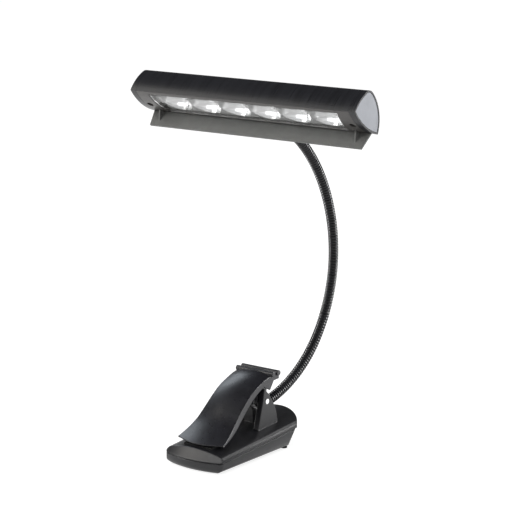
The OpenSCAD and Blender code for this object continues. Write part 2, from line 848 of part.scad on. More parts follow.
module power_button() color(c_rubber)
    translate([0, 0, button_z])
        rotate([-90, 0, 0]) {
            stem = board_back + switch_len + button_travel + 0.4;
            translate([0, 0, stem])
                cylinder(d = button_d, h = base_rear + button_proud - stem);
            flange_y = base_rear - wall - 1.6;
            translate([0, 0, flange_y])
                cylinder(d = button_d + 1.2, h = 1);
        }

// Lever: rings of a bowed and crowned sheet with side skirts
// Place along the base, edge height, half width, bow of the ring, crown and skirt depth
lever_side = lever_w / 2;
lever_rings = [
    [pin_y - 55, pin_z - 18.65, lever_side + 5.1, 5, -0.5, 1.2],
    [pin_y - 49.5, pin_z - 16.05, lever_side + 4, 3.6, 0.5, 2.2],
    [pin_y - 44.5, pin_z - 13.15, lever_side + 2.9, 2.6, 1.2, 3.4],
    [pin_y - 37.6, pin_z - 8.35, lever_side + 1.5, 1.4, 1.9, 4.6],
    [pin_y - 29.1, pin_z - 0.55, lever_side + 0.5, 0.6, 2.4, 5.2],
    [pin_y - 17.8, pin_z + 8.25, lever_side + 0.2, 0, 2.6, 4.9],
    [pin_y - 9.1, pin_z + 12.65, lever_side, 0, 2.6, 4.5],
    [pin_y + 1, pin_z + 16.15, lever_side, 0, 2.4, 4.2],
    [pin_y + 8, pin_z + 17.15, lever_side, 0, 1.8, 4],
    [pin_y + 15.2, pin_z + 17.05, lever_side, 0, 1.2, 3.6]];
lever_steps = 2;
lever_path = smooth(lever_rings, lever_steps);
across = 10;
// Slope of the lever at a ring, used to lay its thickness square to the sheet
function lever_slope(i) = let (
        a = lever_path[max(i - 1, 0)], b = lever_path[min(i + 1, len(lever_path) - 1)])
    atan2(b[1] - a[1], b[0] - a[0]);
// Point of the sheet at a share of the half width, a depth below its outer face
function sheet_point(i, s, depth, half) = let (q = lever_path[i], f = 1 - s * s, g = lever_slope(i))
    [s * half, q[0] - q[3] * f + depth * sin(g), q[1] + q[4] * f - depth * cos(g)];
function lever_outer(i) = let (q = lever_path[i]) concat(
    [[-q[2], q[0] + q[5] * sin(lever_slope(i)), q[1] - q[5] * cos(lever_slope(i))]],
    [for (j = [0 : across]) sheet_point(i, 2 * j / across - 1, 0, q[2])],
    [[q[2], q[0] + q[5] * sin(lever_slope(i)), q[1] - q[5] * cos(lever_slope(i))]]);
function lever_inner(i) = let (q = lever_path[i], h = q[2] - lever_t) concat(
    [[-h, q[0] + q[5] * sin(lever_slope(i)), q[1] - q[5] * cos(lever_slope(i))]],
    [for (j = [0 : across]) sheet_point(i, 2 * j / across - 1, min(lever_t, q[5] - 0.4), h)],
    [[h, q[0] + q[5] * sin(lever_slope(i)), q[1] - q[5] * cos(lever_slope(i))]]);

// Solid between rows of outer and inner points
module shell_loft(outer, inner) {
    rows = len(outer);
    n = len(outer[0]);
    m = 2 * n;
    points = [for (i = [0 : rows - 1]) each concat(outer[i], [for (j = [n - 1 : -1 : 0]) inner[i][j]])];
    skin = [for (i = [0 : rows - 2], j = [0 : m - 1], h = [0, 1]) h == 0
        ? [i * m + j, (i + 1) * m + j, i * m + (j + 1) % m]
        : [i * m + (j + 1) % m, (i + 1) * m + j, (i + 1) * m + (j + 1) % m]];
    ends = [for (e = [0, 1], j = [0 : n - 2], h = [0, 1]) let (
            b = e * (rows - 1) * m, q = [b + j, b + j + 1, b + m - 2 - j, b + m - 1 - j],
            f = h == 0 ? [q[0], q[1], q[2]] : [q[0], q[2], q[3]])
        e == 0 ? f : [f[0], f[2], f[1]]];
    polyhedron(points, concat(skin, ends));
}

lever_last = len(lever_path) - 1;
cheek_x = ear_x - ear_t - cheek_gap - cheek_t;
module lever_sheet()
    shell_loft([for (i = [0 : lever_last]) lever_outer(i)], [for (i = [0 : lever_last]) lever_inner(i)]);

// Cheek between the ears: from the sheet down to an eye round the pin
module cheek_outline() {
    share = (cheek_x + cheek_t / 2) / lever_side;
    under = [for (i = [6 * lever_steps : 8 * lever_steps]) sheet_point(i, share, lever_t / 2, lever_side)];
    polygon(concat([[pin_y + 0.9 * eye_r, pin_z + 2], [pin_y - 0.9 * eye_r, pin_z + 2]],
        [for (p = under) [p[1], p[2]]]));
    translate([pin_y, pin_z])
        circle(r = eye_r);
}

// Lobe of a skirt above its ear
module lobe_outline() {
    translate([pin_y, pin_z])
        polygon([[-2.5, 10.95], [-1, 9.95], [4.8, 7.05], [10.5, 15.15], [3, 14.4]]);
}

module clip_lever() color(c_black) {
    lever_sheet();
    // Cheeks that turn on the pin
    difference() {
        for (x = [-cheek_x - cheek_t, cheek_x])
            plate_x(x, x + cheek_t)
                cheek_outline();
        rod_x(pin_d / 2 + pin_gap, -ear_x, ear_x);
    }
    for (x = [seat - lever_side, lever_side - lever_t + seat])
        plate_x(x, x + lever_t - 2 * seat)
            lobe_outline();
    // Thumb ridges
    last = lever_rings[len(lever_rings) - 1];
    for (i = [0, 1])
        translate([0, last[0] - ridge_r - i * ridge_step, last[1] + 0.9])
            rotate([0, 90, 0])
                cylinder(r = ridge_r, h = lever_w + 2.6, center = true);
}

// Upper jaw pad: fills the wedge between the lever and the jaw plane
pad_rows = [for (i = [1 : 2 * lever_steps]) i];
function jaw_plane(y) = ridge_z(y) + pad_h + pad_gap;
function pad_over(i) = let (q = lever_path[i], h = q[2] - lever_t)
    [for (j = [-4 : 4]) sheet_point(i, j / 4 * pad_x / h, min(lever_t, q[5] - 0.4) + 0.25, h)];
function pad_under(i) = [for (p = pad_over(i)) [p[0], p[1], jaw_plane(p[1])]];
module jaw_pad_upper() color(c_rubber)
    shell_loft([for (i = pad_rows) pad_over(i)], [for (i = pad_rows) pad_under(i)]);

// Gooseneck

// Stretch of a link's bent round bar between two lengths along it
module link_arc(k, s0, s1, r) {
    p = link_pose(k);
    ring = link_r(k);
    turn = bends[k] / link_len;
    translate([0, p[0] - ring * sin(p[2]), p[1] + ring * cos(p[2])])
        rotate([90, 0, 90])
            rotate([0, 0, p[2] - 90 + s0 * turn])
                rotate_extrude(angle = (s1 - s0) * turn, $fn = 96)
                    translate([ring, 0])
                        circle(r = r, $fn = 32);
}

// Puts z along the neck at the start of a link
module at_link(k) {
    p = link_pose(k);
    translate([0, p[0], p[1]])
        rotate([p[2] - 90, 0, 0])
            children();
}

module neck_link(k) color(c_black) {
    first = k == 0;
    last = k == len(bends) - 1;
    begin = first ? 0 : tilt_room;
    difference() {
        union() {
            link_arc(k, begin, link_len, core_r);
            for (i = [0 : rib_count - 1]) {
                s = link_len - (i + 1) * rib_pitch;
                if (s >= begin - 0.3)
                    link_arc(k, max(s, begin) + rib_pitch - rib_w, s + rib_pitch, neck_r);
            }
            if (first)
                at_link(k)
                    translate([0, 0, -plug_len])
                        cylinder(r = plug_r, h = plug_len + 1);
            else
                at_link(k)
                    sphere(r = ball_r);
            if (last)
                at_link(k + 1)
                    translate([0, 0, -1])
                        cylinder(r = plug_r, h = plug_len + 1);
        }
        link_arc(k, -plug_len - over, link_len + plug_len + over, neck_bore / 2);
        if (!last)
            at_link(k + 1)
                sphere(r = ball_r + ball_gap);
    }
}

module collar() {
    difference() {
        cylinder(d = collar_d, h = collar_len);
        translate([0, 0, -over])
            cylinder(r = neck_r + 0.15, h = collar_len + 2 * over);
    }
}

module neck_collar_lower() color(c_dark)
    at_link(0)
        translate([0, 0, seat])
            collar();

module neck_collar_upper() color(c_dark)
    at_link(len(bends))
        translate([0, 0, -collar_len - seat])
            collar();

// Lead from the base board up into the neck's root
lead_z = button_z - 1.5;
base_lead_path = [[0, board_y - 0.1, lead_z], [0, board_y - 6, lead_z + 0.3], [0, lead_hole_y + 3, lead_z + 0.4],
    [0, lead_hole_y + 0.3, lead_z + 2.2], [0, lead_hole_y, lead_z + 6],
    [0, lead_hole_y + 0.6, root_z - 0.9], [0, root_y - plug_len - 0.3, root_z - 0.3]];
module base_lead() color([0.5, 0.1, 0.1])
    tube(smooth(base_lead_path, 2), lead_r, 6, [1, 0, 0]);

// Lamp head

// Places children in the head's own frame: y across the lamp face to the rear, z out of its back
module at_head() {
    translate([0, head_y, head_z])
        rotate([head_tilt, 0, 0])
            children();
}

// Extrudes a head section along x
module along_head(x0, x1) {
    translate([x0, 0, 0])
        rotate([90, 0, 90])
            linear_extrude(x1 - x0)
                children();
}

// Section of the head between its front and rear arcs with a rounded crest, drawn in by a wall, above a level
module arch(inset, level) {
    front_touch = crest + (crest_r - inset) * unit(crest - front_arc);
    rear_touch = crest + (crest_r - inset) * unit(crest - rear_arc);
    up = face_w * unit([front_touch[1] - rear_touch[1], rear_touch[0] - front_touch[0]]);
    intersection() {
        union() {
            difference() {
                intersection() {
                    translate(front_arc)
                        circle(r = front_arc_r - inset, $fn = 160);
                    translate(rear_arc)
                        circle(r = rear_arc_r - inset, $fn = 160);
                }
                polygon([front_touch, rear_touch, rear_touch + up, front_touch + up]);
            }
            translate(crest)
                circle(r = crest_r - inset);
        }
        translate([-face_w, level])
            square(2 * face_w);
    }
}

// Places of the front and rear arcs at a height, drawn in by a wall
function front_u(inset, n) = front_arc[0] - sqrt(pow(front_arc_r - inset, 2) - pow(n, 2));
function rear_u(inset, n) = rear_arc[0] + sqrt(pow(rear_arc_r - inset, 2) - pow(n + rear_arc_drop, 2));

module bulge(inset) {
    translate([bulge_u, bulge_z])
        circle(r = bulge_r - inset, $fn = 192);
}

module bezel_section() {
    front_lip = front_u(head_wall + 0.3, bezel_lip);
    rear_lip = rear_u(head_wall + 0.3, bezel_lip);
    intersection() {
        bulge(0);
        translate([0.1 - face_front, -face_bulge - over])
            square([face_w - 0.2, face_bulge + over - seat]);
    }
    translate([front_lip, -seat - 0.5])
        square([rear_lip - front_lip, bezel_lip + seat + 0.5]);
}

// Window outline on the lamp face, narrower at the rear
window_taper = 3.5;
module window_plan(gap) {
    polygon([[gap - window_x, gap - window_front], [window_x - gap, gap - window_front],
        [window_x - window_taper - gap, window_rear - gap], [window_taper - window_x + gap, window_rear - gap]]);
}

module window_prism(gap) {
    translate([0, 0, -face_bulge - over])
        linear_extrude(face_bulge + 2 * over + bowl_top)
            window_plan(gap);
}

screw_seat = 0.6;
module screw_spots() {
    for (s = [-1, 1])
        translate([s * screw_x, -screw_front, screw_seat])
            children();
}

module head_shell() color(c_black) {
    difference() {
        union() {
            at_head() {
                along_head(-shell_x + seat, shell_x - seat)
                    difference() {
                        arch(0, 0);
                        arch(head_wall, -over);
                    }
                // Posts for the bezel screws
                intersection() {
                    screw_spots()
                        translate([0, 0, 2])
                            cylinder(r = 2.8, h = face_w);
                    along_head(-shell_x + 0.2, shell_x - 0.2)
                        arch(head_wall / 2, 0);
                }
            }
            // Socket for the neck's end, cut level above the bezel
            intersection() {
                at_link(len(bends))
                    cylinder(r = boss_r, h = plug_len + 3);
                at_head()
                    translate([-big / 2, -big / 2, bezel_lip + 0.2])
                        cube([big, big, big]);
            }
        }
        at_link(len(bends))
            translate([0, 0, -over])
                cylinder(r = plug_r + seat, h = plug_len + 8);
        at_head()
            screw_spots()
                cylinder(r = screw_r + seat, h = screw_len + 1);
    }
}

module face_bezel() color(c_dark)
    at_head()
        difference() {
            union() {
                along_head(-shell_x + seat, shell_x - seat)
                    bezel_section();
                screw_spots()
                    translate([0, 0, -1])
                        cylinder(r = 3.6, h = 2.9);
            }
            window_prism(0);
            screw_spots() {
                translate([0, 0, -face_bulge - 2])
                    cylinder(r = screw_head_r + 0.3, h = face_bulge + 2);
                cylinder(r = screw_r + 0.2, h = 5);
            }
        }

// Fixed shield behind the window, with a gusset near each end
module glare_shield() color(c_dark)
    at_head()
        difference() {
            union() {
                translate([0, shield_u, -face_bulge / 2])
                    rotate([-shield_lean, 0, 0])
                        translate([0, shield_t / 2, face_bulge / 2])
                            rotate([90, 0, 0])
                                linear_extrude(shield_t)
                                    polygon([[-shield_root, 0], [-shield_edge, -shield_h - face_bulge / 2],
                                        [shield_edge, -shield_h - face_bulge / 2], [shield_root, 0]]);
                for (s = [-1, 1])
                    along_head(s * gusset_x - 0.6, s * gusset_x + 0.6)
                        polygon([[shield_u, 0], [shield_u - 5.5, 0], [shield_u - 5.5, -face_bulge],
                            [shield_u - 1.8, -shield_h * 0.8], [shield_u - 1, -shield_h * 0.8]]);
            }
            along_head(-head_len, head_len)
                intersection() {
                    bulge(-seat);
                    translate([-face_w, -face_bulge - over])
                        square([2 * face_w, face_bulge + 3]);
                }
        }

module cap_section(inset) {
    intersection() {
        arch(inset, -face_bulge - over);
        bulge(inset);
    }
}

plug_in = 1;
module end_cap(s) color(c_dark)
    at_head()
        difference() {
            union() {
                along_head(min(s * shell_x, s * head_len / 2), max(s * shell_x, s * head_len / 2))
                    cap_section(0);
                // Plug inside the shell
                along_head(min(s * (shell_x - plug_in), s * (shell_x + over)),
                    max(s * (shell_x - plug_in), s * (shell_x + over)))
                    difference() {
                        arch(head_wall + 0.15, 2);
                        arch(head_wall + 1.6, 0);
                    }
            }
            along_head(min(s * (head_len / 2 - plate_t), s * (head_len / 2 + over)),
                max(s * (head_len / 2 - plate_t), s * (head_len / 2 + over)))
                cap_section(cap_rim);
        }
module end_cap_left() end_cap(-1);
module end_cap_right() end_cap(1);

module end_plate(s) color(c_silver)
    at_head()
        along_head(min(s * (head_len / 2 - plate_t + seat), s * (head_len / 2 - 0.2)),
            max(s * (head_len / 2 - plate_t + seat), s * (head_len / 2 - 0.2)))
            cap_section(cap_rim + seat);
module end_plate_left() end_plate(-1);
module end_plate_right() end_plate(1);

lens_depth = 0.4;
module lens_window() color([0.85, 0.9, 0.95, 0.35])
    at_head()
        intersection() {
            along_head(-window_x, window_x)
                difference() {
                    bulge(lens_depth);
                    bulge(lens_depth + lens_t);
                    translate([-face_w, 0])
                        square([2 * face_w, 3 * bulge_r]);
                }
            window_prism(lens_gap);
        }

module bowl_spots() {
    for (i = [0 : cell_count - 1])
        translate([(i - (cell_count - 1) / 2) * bowl_pitch, -bowl_front, 0])
            rotate(90)
                children();
}

// Thin-walled reflector: a flat rim behind the window, with a round bowl for each light source
module reflector() color([0.85, 0.86, 0.88])
    at_head()
        difference() {
            union() {
                translate([0, 0, rim_z])
                    linear_extrude(rim_t)
                        window_plan(-0.3);
                intersection() {
                    bowl_spots()
                        translate([0, 0, bowl_z])
                            sphere(r = bowl_r + bowl_t);
                    translate([-big / 2, -bowl_flat, rim_z + rim_t / 2])
                        cube([big, big, big]);
                }
            }
            intersection() {
                bowl_spots()
                    translate([0, 0, bowl_z])
                        sphere(r = bowl_r);
                translate([-big / 2, bowl_t - bowl_flat, -big / 2])
                    cube([big, big, big]);
            }
            bowl_spots()
                cylinder(r = 3.2, h = 2 * bowl_top);
            // Room for the neck's socket
            translate([-boss_r - 0.6, socket_u - 8.7, 0])
                cube([2 * boss_r + 1.2, face_w, bowl_top]);
        }

module led_board() color(c_board)
    at_head()
        translate([2.5 - window_x, -bowl_front - 6, led_z])
            cube([2 * window_x - 5, 10, led_t]);

module leds() color([0.98, 0.95, 0.75])
    at_head()
        bowl_spots()
            translate([0, 0, led_z - seat]) {
                translate([-1.75, -1.75, -1])
                    cube([3.5, 3.5, 1]);
                translate([0, 0, -1.5])
                    sphere(r = 1.3);
            }

module bezel_screws() color(c_steel)
    at_head()
        screw_spots()
            translate([0, 0, -seat])
                screw();

// Lead from the neck's end up to the light board, in the head's own frame
lead_start = [socket_u - (plug_len + 0.4) * cos(head_set), socket_n - (plug_len + 0.4) * sin(head_set)];
lead_top = led_z + led_t + lead_r + 0.3;
head_lead_path = [[0, lead_start[0], lead_start[1]], [0, lead_start[0] - 2.6, lead_start[1] + 0.4], [0, 8.6, 8],
    [0, 6.3, lead_top - 3.85], [0, 4.2, lead_top - 1.55], [0, 2, lead_top - 0.05], [0, 0, lead_top]];
module head_lead() color([0.5, 0.1, 0.1])
    at_head()
        tube(smooth(head_lead_path, 2), lead_r, 6, [1, 0, 0]);

upper_housing();
lower_housing();
front_foot();
rear_feet();
jaw_pad_lower();
hinge_pin();
torsion_spring();
battery_cells();
contact_springs();
contact_plates();
base_board();
switch_body();
dc_jack();
housing_screws();
neck_collar_lower();
base_lead();
battery_door();
power_button();
clip_lever();
jaw_pad_upper();
neck_link(0);  // neck_link_01
neck_link(1);  // neck_link_02
neck_link(2);  // neck_link_03
neck_link(3);  // neck_link_04
neck_link(4);  // neck_link_05
neck_link(5);  // neck_link_06
neck_link(6);  // neck_link_07
neck_link(7);  // neck_link_08
neck_link(8);  // neck_link_09
neck_link(9);  // neck_link_10
neck_collar_upper();
head_shell();
face_bezel();
glare_shield();
end_cap_left();
end_cap_right();
end_plate_left();
end_plate_right();
lens_window();
reflector();
led_board();
leds();
bezel_screws();
head_lead();
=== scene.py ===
"""Looks of the clip-on music stand light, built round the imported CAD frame."""

import json
import math

import bpy
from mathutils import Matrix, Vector


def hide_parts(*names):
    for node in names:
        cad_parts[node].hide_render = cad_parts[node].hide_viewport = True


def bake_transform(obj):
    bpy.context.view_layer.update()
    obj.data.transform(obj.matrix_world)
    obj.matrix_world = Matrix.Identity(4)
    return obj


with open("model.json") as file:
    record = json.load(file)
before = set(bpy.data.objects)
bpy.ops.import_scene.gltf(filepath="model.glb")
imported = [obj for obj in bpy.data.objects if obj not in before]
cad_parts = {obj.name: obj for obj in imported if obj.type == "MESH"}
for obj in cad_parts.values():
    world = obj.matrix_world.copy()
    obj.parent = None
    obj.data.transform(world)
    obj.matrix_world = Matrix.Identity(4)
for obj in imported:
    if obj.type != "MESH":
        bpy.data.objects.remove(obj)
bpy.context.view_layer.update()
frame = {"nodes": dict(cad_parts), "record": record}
nodes = frame["nodes"]
scene = bpy.context.scene
MM = 0.001


# Shader steps

NOISE_ROUGHNESS = 0.55
NOISE_RANGE = (0.3, 0.7)
TONE_RANGE = (0.35, 0.65)
BEVEL_SAMPLES = 6


def join(tree, output, socket):
    tree.links.new(output, socket)


def new_material(name):
    material = bpy.data.materials.new(name)
    material.use_nodes = True
    tree = material.node_tree
    shader = tree.nodes["Principled BSDF"]
    return material, tree, shader


def shade(colour, factor):
    """Colour made darker or lighter by a factor."""
    return tuple(part * factor for part in colour)


def noise(tree, scale, detail, stretch=(1, 1, 1)):
    """Noise over the object's own coordinates, in metres."""
    place = tree.nodes.new("ShaderNodeTexCoord")
    mapping = tree.nodes.new("ShaderNodeMapping")
    mapping.inputs["Scale"].default_value = stretch
    texture = tree.nodes.new("ShaderNodeTexNoise")
    texture.inputs["Scale"].default_value = scale
    texture.inputs["Detail"].default_value = detail
    texture.inputs["Roughness"].default_value = NOISE_ROUGHNESS
    join(tree, place.outputs["Object"], mapping.inputs["Vector"])
    join(tree, mapping.outputs["Vector"], texture.inputs["Vector"])
    return texture.outputs["Fac"]


def map_range(tree, value, source, result, interpolation="LINEAR"):
    """Number that crosses the result range while the value crosses the source range."""
    node = tree.nodes.new("ShaderNodeMapRange")
    node.interpolation_type = interpolation
    limits = zip(("From Min", "From Max", "To Min", "To Max"), (*source, *result))
    for socket, limit in limits:
        node.inputs[socket].default_value = limit
    join(tree, value, node.inputs["Value"])
    return node.outputs["Result"]


def mix_number(tree, factor, first, second):
    """Number that goes from the first to the second with the factor."""
    node = tree.nodes.new("ShaderNodeMix")
    node.data_type = "FLOAT"
    # The sockets of the float mix share their names with others, so they go by their places
    join(tree, factor, node.inputs[0])
    for socket, value in ((node.inputs[2], first), (node.inputs[3], second)):
        if isinstance(value, float):
            socket.default_value = value
        else:
            join(tree, value, socket)
    return node.outputs[0]


def paint(tree, shader, tone, dark, light):
    """Base colour that goes from dark to light with the tone."""
    ramp = tree.nodes.new("ShaderNodeValToRGB")
    for stop, position, colour in zip(ramp.color_ramp.elements, TONE_RANGE, (dark, light)):
        stop.position = position
        stop.color = (*colour, 1)
    join(tree, tone, ramp.inputs["Fac"])
    join(tree, ramp.outputs["Color"], shader.inputs["Base Color"])


def gloss(tree, shader, wear, rough, share):
    """Roughness that wavers with the wear by a share of its middle value."""
    limits = (rough * (1 - share), rough * (1 + share))
    join(tree, map_range(tree, wear, NOISE_RANGE, limits), shader.inputs["Roughness"])


def grain_and_edges(tree, shader, grain, strength, depth, radius):
    """Fine grain, over edges that look rounded where the radius isn't zero."""
    bump = tree.nodes.new("ShaderNodeBump")
    bump.inputs["Strength"].default_value = strength
    bump.inputs["Distance"].default_value = depth
    join(tree, grain, bump.inputs["Height"])
    if radius:
        bevel = tree.nodes.new("ShaderNodeBevel")
        bevel.samples = BEVEL_SAMPLES
        bevel.inputs["Radius"].default_value = radius
        join(tree, bevel.outputs["Normal"], bump.inputs["Normal"])
    join(tree, bump.outputs["Normal"], shader.inputs["Normal"])


# Kinds of material

FINE_GRAIN = 9000
PLASTIC_DEPTH = 0.05 * MM
METAL_DEPTH = 0.02 * MM
METAL_DULLER = 0.93
EDGE_RADIUS = 0.6 * MM
STREAKS_ROUND = (1, 0.03, 0.03)
WINDOW_IOR = 1.3
WINDOW_DARK = (0.95, 0.96, 0.97)
WINDOW_LIGHT = (0.98, 0.98, 0.99)


def plastic(
    name, colour, rough, specular=0.5, grain=FINE_GRAIN, strength=0.12, radius=EDGE_RADIUS, vary=0.18
):
    """Moulded plastic with a faint change of tone and gloss."""
    material, tree, shader = new_material(name)
    tone = noise(tree, scale=160, detail=4)
    paint(tree, shader, tone, shade(colour, 1 - vary), shade(colour, 1 + vary))
    gloss(tree, shader, noise(tree, scale=420, detail=3), rough, share=0.1)
    shader.inputs["Specular IOR Level"].default_value = specular
    grain_and_edges(tree, shader, noise(tree, grain, detail=2), strength, PLASTIC_DEPTH, radius)
    return material


def brushed(name, colour, rough, specular, strength=0.1, vary=0.3):
    """Dark satin shell with faint streaks round its section."""
    material, tree, shader = new_material(name)
    streaks = noise(tree, scale=900, detail=4, stretch=STREAKS_ROUND)
    paint(tree, shader, streaks, shade(colour, 1 - vary), shade(colour, 1 + vary))
    gloss(tree, shader, streaks, rough, share=0.18)
    shader.inputs["Specular IOR Level"].default_value = specular
    grain = noise(tree, FINE_GRAIN, detail=2)
    grain_and_edges(tree, shader, grain, strength, PLASTIC_DEPTH, EDGE_RADIUS)
    return material


def metal(name, colour, rough, strength=0.05, metallic=1.0):
    """Bright metal, a little duller in places."""
    material, tree, shader = new_material(name)
    paint(tree, shader, noise(tree, scale=300, detail=3), shade(colour, METAL_DULLER), colour)
    shader.inputs["Metallic"].default_value = metallic
    gloss(tree, shader, noise(tree, scale=500, detail=2), rough, share=0.15)
    grain = noise(tree, scale=3000, detail=2)
    grain_and_edges(tree, shader, grain, strength, METAL_DEPTH, radius=0)
    return material


def clear(name, rough):
    """Clear window: glass to the eye, open to light for shadows."""
    material, tree, shader = new_material(name)
    paint(tree, shader, noise(tree, scale=60, detail=2), WINDOW_DARK, WINDOW_LIGHT)
    shader.inputs["Transmission Weight"].default_value = 1.0
    shader.inputs["IOR"].default_value = WINDOW_IOR
    gloss(tree, shader, noise(tree, scale=200, detail=2), rough, share=0.5)
    path = tree.nodes.new("ShaderNodeLightPath")
    open_way = tree.nodes.new("ShaderNodeBsdfTransparent")
    mix = tree.nodes.new("ShaderNodeMixShader")
    join(tree, path.outputs["Is Shadow Ray"], mix.inputs["Fac"])
    join(tree, shader.outputs["BSDF"], mix.inputs[1])
    join(tree, open_way.outputs["BSDF"], mix.inputs[2])
    join(tree, mix.outputs["Shader"], tree.nodes["Material Output"].inputs["Surface"])
    return material


# Materials of the nodes

shell_black = brushed("shell_black", (0.012, 0.0125, 0.0155), rough=0.33, specular=0.42)
lever_black = plastic("lever_black", (0.009, 0.009, 0.012), rough=0.3, specular=0.45, radius=0.9 * MM)
base_black = plastic("base_black", (0.012, 0.012, 0.014), rough=0.33, radius=1.0 * MM)
bezel_plastic = plastic("bezel_plastic", (0.08, 0.076, 0.073), rough=0.42, vary=0.08)
shield_plastic = plastic(
    "shield_plastic", (0.112, 0.114, 0.109), rough=0.45, specular=0.45, vary=0.06
)
neck_black = plastic(
    "neck_black", (0.005, 0.005, 0.006), rough=0.13, specular=0.25, strength=0.03, radius=0
)
rubber = plastic(
    "rubber", (0.012, 0.012, 0.012), rough=0.75, specular=0.25, grain=5000, strength=0.25, radius=0.2 * MM
)

by_slot = {
    "dark_plastic": plastic("dark_plastic", (0.05, 0.048, 0.046), rough=0.42),
    "neck_black": neck_black,
    "rubber": rubber,
    "silver_grey": plastic("silver_grey", (0.36, 0.375, 0.41), rough=0.42, radius=0.3 * MM, vary=0.05),
    "circuit_board": plastic("circuit_board", (0.03, 0.15, 0.07), rough=0.4, radius=0),
    "led": plastic("led", (0.9, 0.82, 0.5), rough=0.25, radius=0, vary=0.04),
    "cell_case": plastic("cell_case", (0.12, 0.17, 0.3), rough=0.25, radius=0),
    "lead_sheath": plastic("lead_sheath", (0.25, 0.03, 0.03), rough=0.5, specular=0.4, radius=0),
    "spring_steel": metal("spring_steel", (0.62, 0.62, 0.63), rough=0.28),
    "polished_steel": metal("polished_steel", (0.95, 0.95, 0.95), rough=0.32, strength=0.02),
    "reflector_chrome": metal(
        "reflector_chrome", (0.92, 0.92, 0.91), rough=0.12, strength=0.015, metallic=0.6
    ),
    "clear_window": clear("clear_window", rough=0.02),
}
by_node = {
    "upper_housing": base_black,
    "lower_housing": base_black,
    "clip_lever": lever_black,
    "glare_shield": shield_plastic,
    "face_bezel": bezel_plastic,
    "head_shell": shell_black,
    "end_cap_left": shell_black,
    "end_cap_right": shell_black,
    "bezel_screws": rubber,
}


def dress(obj, material):
    obj.data.materials.clear()
    obj.data.materials.append(material)


slots = {row["node"]: row["material_slot"] for row in frame["record"]["subparts"]}
for name, obj in nodes.items():
    dress(obj, by_node[name] if name in by_node else by_slot[slots[name]])


# Camera, fitted to the outlines in the photo, with lens and sensor in millimetres

LENS, SENSOR = 132.25, 36.0
NEAR_CLIP = 0.05
AZIMUTH, ELEVATION = math.radians(37.32), math.radians(12.30)
DISTANCE = 1.379
TARGET = Vector((0, 0.0355, 0.1299))


def put(obj, place, aim):
    """Puts a camera or a light in the scene and turns it to its aim."""
    obj.location = place
    obj.rotation_euler = (Vector(aim) - Vector(place)).to_track_quat("-Z", "Y").to_euler()
    scene.collection.objects.link(obj)


camera_data = bpy.data.cameras.new("camera")
camera_data.lens = LENS
camera_data.sensor_width = SENSOR
camera_data.clip_start = NEAR_CLIP
camera = bpy.data.objects.new("camera", camera_data)
reach = math.cos(ELEVATION)
away = Vector((math.sin(AZIMUTH) * reach, -math.cos(AZIMUTH) * reach, math.sin(ELEVATION)))
put(camera, TARGET + DISTANCE * away, TARGET)
scene.camera = camera


# Lights, some of which reach chosen pieces only

WHITE = (1, 1, 1)
WARM = (1.0, 0.97, 0.92)
COOL = (0.86, 0.93, 1.0)


def softbox(name, place, aim, size, watts, colour=WHITE, only=None):
    """Area light of a width and height, for one collection of pieces or for all."""
    data = bpy.data.lights.new(name, "AREA")
    data.shape = "RECTANGLE"
    data.size, data.size_y = size
    data.energy = watts
    data.color = colour
    obj = bpy.data.objects.new(name, data)
    put(obj, place, aim)
    if only is not None:
        obj.light_linking.receiver_collection = only


def receivers(name, *node_names):
    """Collection of the pieces that a light reaches."""
    collection = bpy.data.collections.new(name)
    for node_name in node_names:
        collection.objects.link(nodes[node_name])
    return collection


# The gooseneck's skins join neck_lit as they are made
neck_lit = receivers("neck_lit")
clip_lit = receivers("clip_lit", "upper_housing", "lower_housing", "clip_lever", "hinge_pin")
bowls_lit = receivers("bowls_lit", "reflector", "lens_window")
lever_lit = receivers("lever_lit", "clip_lever")

softbox("front_left", (-0.9, -0.8, 0.95), (0, 0, 0.12), size=(0.9, 0.8), watts=7, colour=WARM)
softbox("right_rear", (0.6, 0.93, 1.1), (0, 0, 0.1), size=(0.9, 0.5), watts=4.5)

# The light behind on the left is kept off the head
softbox(
    "left_rear", (-1.05, 0.5, 0.85), (0, 0, 0.05), size=(0.6, 0.5), watts=3.2, colour=COOL, only=clip_lit
)
softbox("right", (1.4, -0.2, 0.5), (0, 0, 0.1), size=(0.5, 0.6), watts=3)
softbox("right_low", (0.85, 0.95, 0.35), (0, 0, 0.08), size=(0.16, 0.5), watts=3.5)
softbox("left_low", (-1.0, -0.72, 0.4), (0, 0, 0.1), size=(0.14, 0.6), watts=3)
softbox("front", (-0.12, -0.85, 1.1), (0, 0, 0.05), size=(0.7, 0.5), watts=4)

# Narrow strips that draw the gooseneck's long highlights
softbox("neck_left", (-1.0, -0.62, 0.36), (0, 0.1, 0.12), size=(0.3, 0.9), watts=30, only=neck_lit)
softbox("neck_right", (0.85, 0.85, 0.3), (0, 0.1, 0.12), size=(0.3, 0.6), watts=30, only=neck_lit)

# Wide low softbox that shows as a patch in each bowl of the reflector
softbox("bowl_front", (-0.45, -1.1, 0.3), (0, 0.03, 0.24), size=(1.8, 0.4), watts=5, only=bowls_lit)

# Low light along the lever's side
softbox("lever_side", (0.75, 0.9, 0.12), (0, 0, 0.04), size=(0.5, 0.2), watts=8, only=lever_lit)


# Background and floor

# Glow in reflections, from the horizon up to a height and from under the base out to a distance; the
# floor's dimmer glow close to the base is a painted shadow
SKY_HEIGHT, SKY_GLOW = (0.0, 0.4), (0.4, 0.06)
FLOOR_DISTANCE, FLOOR_GLOW = (0.05, 0.25), (0.6, 1.1)

FLOOR_SIZE = 12
FLOOR_DARK = (0.39, 0.39, 0.39)
FLOOR_LIGHT = (0.41, 0.41, 0.41)
FLOOR_ROUGHNESS = 0.9


